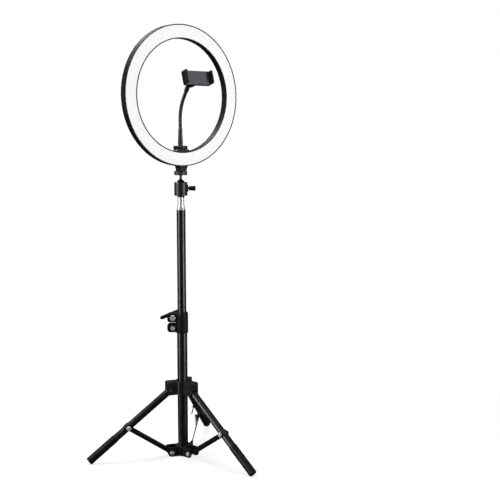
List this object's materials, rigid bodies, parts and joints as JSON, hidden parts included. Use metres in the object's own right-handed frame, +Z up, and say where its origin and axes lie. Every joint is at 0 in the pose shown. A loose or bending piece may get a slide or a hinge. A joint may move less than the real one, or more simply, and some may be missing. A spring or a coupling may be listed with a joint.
{
  "type": "ring light",
  "caption": "Ring light on a small folding tripod light stand, with a ball head and a gooseneck phone clamp inside the ring.",
  "frame": {"origin": "on the floor, on the axis of the stand's tubes", "axes": "+Z up along the tubes; -Y is the way the lit face of the ring looks; +X to the right of the ring seen from behind it"},
  "size_m": [0.3285, 0.3036, 0.828],
  "materials": {
    "hub_black": "satin moulded",
    "collar_black": "semi-gloss moulded",
    "tube_black": "satin powder coat",
    "strut_black": "satin powder coat",
    "zinc_steel": "zinc plated",
    "foot_rubber": "matt",
    "spigot_chrome": "polished",
    "head_black": "satin anodised",
    "knob_black": "satin moulded",
    "bare_steel": "bright turned",
    "stud_black": "glossy black plated",
    "nylon_white": "natural",
    "pad_rubber": "matt",
    "housing_black": "fine textured, semi-gloss",
    "diffuser_white": "milky, matt",
    "board_white": "white solder resist",
    "led_yellow": "phosphor",
    "board_green": "green solder resist",
    "socket_steel": "drawn",
    "screw_black": "black oxide",
    "insert_brass": "turned",
    "neck_black": "black plated, satin",
    "clamp_black": "fine textured",
    "spring_steel": "bright wire"
  },
  "bodies": {
    "stand": {"lower_hub": "hub_black", "lower_hub_rivets": "zinc_steel", "lower_tube": "tube_black", "lower_tube_plug": "hub_black", "clamp_collar": "collar_black", "guide_bush": "collar_black", "clamp_bolt": "zinc_steel", "collar_fixing_bolt": "zinc_steel"},
    "wing": {"wing_knob": "collar_black"},
    "strut_arm_a": {"strut_a": "strut_black"},
    "strut_arm_b": {"strut_b": "strut_black"},
    "strut_arm_c": {"strut_c": "strut_black"},
    "leg_arm_a": {"leg_knuckle_a": "hub_black", "leg_tube_a": "tube_black", "leg_clip_a": "hub_black", "leg_rivet_a": "zinc_steel", "foot_a": "foot_rubber"},
    "leg_arm_b": {"leg_knuckle_b": "hub_black", "leg_tube_b": "tube_black", "leg_clip_b": "hub_black", "leg_rivet_b": "zinc_steel", "foot_b": "foot_rubber"},
    "leg_arm_c": {"leg_knuckle_c": "hub_black", "leg_tube_c": "tube_black", "leg_clip_c": "hub_black", "leg_rivet_c": "zinc_steel", "foot_c": "foot_rubber"},
    "slide_hub": {"upper_hub": "hub_black", "upper_hub_rivets": "screw_black"},
    "mast": {"upper_tube": "tube_black", "mast_slide_plug": "hub_black", "spigot": "spigot_chrome"},
    "head": {"head_housing": "head_black", "ball_cup": "nylon_white"},
    "knob": {"lock_screw": "bare_steel", "lock_knob": "knob_black"},
    "ball": {"ball_stud": "stud_black"},
    "disc": {"lock_disc": "head_black", "platform_pad": "pad_rubber"},
    "ring_head": {"rear_housing": "housing_black", "front_diffuser": "diffuser_white", "led_board": "board_white", "leds": "led_yellow", "driver_board": "board_green", "power_socket": "socket_steel", "housing_screws": "screw_black", "tripod_insert": "insert_brass", "arm_insert": "insert_brass"},
    "nut": {"arm_nut": "knob_black"},
    "arm_base": {"arm_ferrule": "neck_black", "gooseneck_lower": "neck_black"},
    "arm_top": {"gooseneck_upper": "neck_black", "clamp_ball_stud": "neck_black"},
    "clamp_nut": {"clamp_ball_nut": "clamp_black"},
    "clamp": {"clamp_body": "clamp_black", "fixed_jaw_pad": "pad_rubber", "jaw_spring": "spring_steel"},
    "jaw": {"sliding_jaw": "clamp_black", "sliding_jaw_pad": "pad_rubber"}
  },
  "joints": [
    {"name": "leg_fold", "type": "hinge", "parent": "stand", "child": "strut_arm_a", "pos_m": [0.01976, 0.01449, 0.0081], "axis": [0.5913, -0.8064, 0], "range_deg": [0, 49.1]},
    {"name": "strut_fold_b", "type": "hinge", "parent": "stand", "child": "strut_arm_b", "pos_m": [-0.02243, 0.00987, 0.0081], "axis": [0.4027, 0.9153, 0], "range_deg": [-1, 50.5]},
    {"name": "strut_fold_c", "type": "hinge", "parent": "stand", "child": "strut_arm_c", "pos_m": [0.00267, -0.02435, 0.0081], "axis": [-0.9941, -0.1089, 0], "range_deg": [-1, 50.5]},
    {"name": "leg_turn_a", "type": "hinge", "parent": "strut_arm_a", "child": "leg_arm_a", "pos_m": [0.08805, 0.06456, 0.06496], "axis": [0.5913, -0.8064, 0], "range_deg": [-95.5, 1]},
    {"name": "hub_turn", "type": "hinge", "parent": "leg_arm_a", "child": "slide_hub", "pos_m": [0.01976, 0.01449, 0.132], "axis": [0.5913, -0.8064, 0], "range_deg": [-1, 46]},
    {"name": "leg_turn_b", "type": "hinge", "parent": "slide_hub", "child": "leg_arm_b", "pos_m": [-0.02243, 0.00987, 0.132], "axis": [0.4027, 0.9153, 0], "range_deg": [-46, 1]},
    {"name": "leg_turn_c", "type": "hinge", "parent": "slide_hub", "child": "leg_arm_c", "pos_m": [0.00267, -0.02435, 0.132], "axis": [-0.9941, -0.1089, 0], "range_deg": [-46, 1]},
    {"name": "mast_slide", "type": "slide", "parent": "stand", "child": "mast", "axis": [0, 0, 1], "range_m": [-0.19, 0.03]},
    {"name": "wing_turn", "type": "hinge", "parent": "stand", "child": "wing", "pos_m": [-0.01442, 0.0111, 0.2743], "axis": [-0.6101, -0.7923, 0], "range_deg": [-180, 180]},
    {"name": "head_pan", "type": "hinge", "parent": "mast", "child": "head", "pos_m": [0, 0, 0.515], "axis": [0, 0, 1], "range_deg": [-180, 180]},
    {"name": "knob_turn", "type": "hinge", "parent": "head", "child": "knob", "pos_m": [0, 0, 0.5232], "axis": [0.7923, -0.6101, 0], "range_deg": [-180, 180]},
    {"name": "ball_tilt", "type": "hinge", "parent": "head", "child": "ball", "pos_m": [0, 0, 0.532], "axis": [1, 0, 0], "range_deg": [-35, 35]},
    {"name": "disc_turn", "type": "hinge", "parent": "ball", "child": "disc", "pos_m": [0, 0, 0.551], "axis": [0, 0, 1], "range_deg": [-180, 180]},
    {"name": "head_swivel", "type": "hinge", "parent": "ball", "child": "ring_head", "pos_m": [0, 0, 0.56], "axis": [0, 0, 1], "range_deg": [-180, 180]},
    {"name": "arm_nut_turn", "type": "hinge", "parent": "ring_head", "child": "nut", "pos_m": [0, 0, 0.6], "axis": [0, 0, 1], "range_deg": [-180, 180]},
    {"name": "arm_swivel", "type": "hinge", "parent": "ring_head", "child": "arm_base", "pos_m": [0, 0, 0.61], "axis": [0, 0, 1], "range_deg": [-170, 170]},
    {"name": "gooseneck_bend", "type": "hinge", "parent": "arm_base", "child": "arm_top", "pos_m": [0, 0, 0.653], "axis": [1, 0, 0], "range_deg": [-40, 40]},
    {"name": "clamp_tilt", "type": "hinge", "parent": "arm_top", "child": "clamp_nut", "pos_m": [0, -0.0303, 0.723], "axis": [0.998, -0.0628, 0], "range_deg": [-82, 2]},
    {"name": "clamp_spin", "type": "hinge", "parent": "clamp_nut", "child": "clamp", "pos_m": [0, -0.0303, 0.723], "axis": [0.06, 0.9544, -0.2924], "range_deg": [-90, 90]},
    {"name": "jaw_slide", "type": "slide", "parent": "clamp", "child": "jaw", "axis": [0.998, -0.0628, 0], "range_m": [0, 0.02], "stiffness_N_per_m": 100, "springref_m": -0.02, "deforming": ["jaw_spring"]}
  ],
  "couplings": [
    {"joint": "strut_fold_b", "follows": "leg_fold", "ratio": 1},
    {"joint": "strut_fold_c", "follows": "leg_fold", "ratio": 1},
    {"joint": "leg_turn_a", "follows": "leg_fold", "ratio": -1.9103},
    {"joint": "hub_turn", "follows": "leg_fold", "ratio": 0.9103},
    {"joint": "leg_turn_b", "follows": "leg_fold", "ratio": -0.9103},
    {"joint": "leg_turn_c", "follows": "leg_fold", "ratio": -0.9103}
  ]
}
